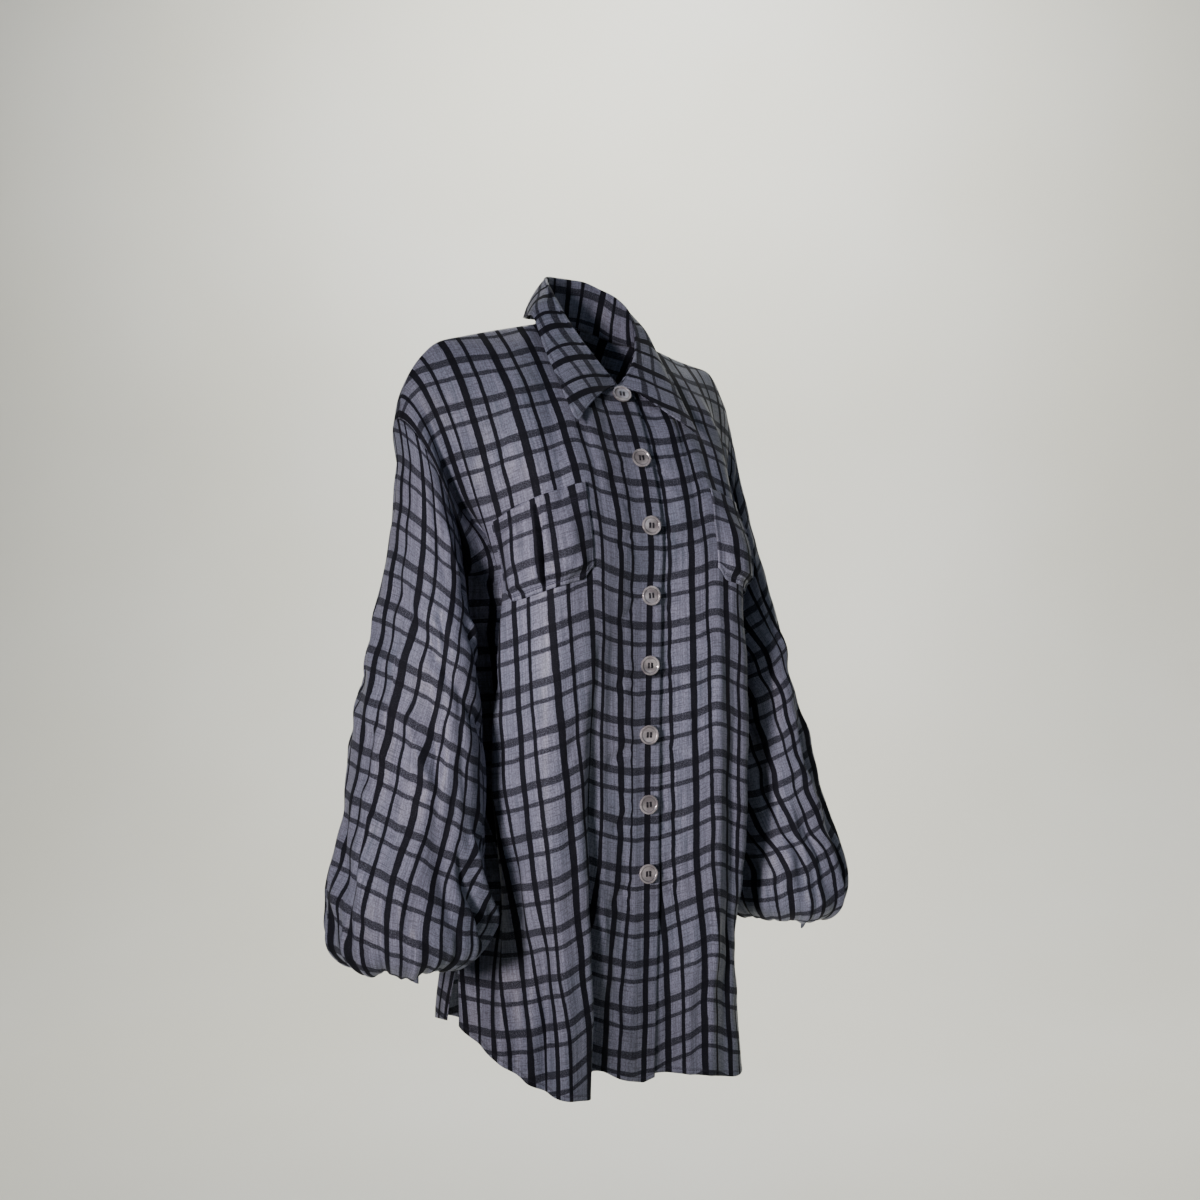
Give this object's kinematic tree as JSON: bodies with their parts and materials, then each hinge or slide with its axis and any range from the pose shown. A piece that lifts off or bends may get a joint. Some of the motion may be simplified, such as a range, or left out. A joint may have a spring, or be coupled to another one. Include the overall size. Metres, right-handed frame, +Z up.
{
  "type": "silk shirt",
  "caption": "loose silk shirt in its worn, hollow form, with a pointed folded collar, chest pockets, a buttoned front, full bishop sleeves gathered into narrow cuffs and a curved shirt-tail hem",
  "frame": {"origin": "middle of the neck, level with the inner ends of the shoulder seams, where the wearer's neck and shoulders hold the shirt", "axes": "+Z up, the front faces -Y, the wearer's left is +X"},
  "size_m": [0.6689, 0.2568, 0.9091],
  "materials": {
    "silk": "yarn-dyed silk, slate grey with dark window-check stripes, soft sheen",
    "shell_button": "polished smoky grey shell, raised rim"
  },
  "bodies": {
    "root": {"front_right": "silk", "front_left": "silk", "back": "silk", "sleeve_right": "silk", "sleeve_left": "silk", "cuff_right": "silk", "cuff_left": "silk", "collar": "silk", "pocket_right": "silk", "pocket_left": "silk", "cuff_button_right": "shell_button", "cuff_button_left": "shell_button", "button_1": "shell_button", "button_2": "shell_button", "button_3": "shell_button", "button_4": "shell_button", "button_5": "shell_button", "button_6": "shell_button", "button_7": "shell_button", "button_8": "shell_button"}
  },
  "joints": []
}
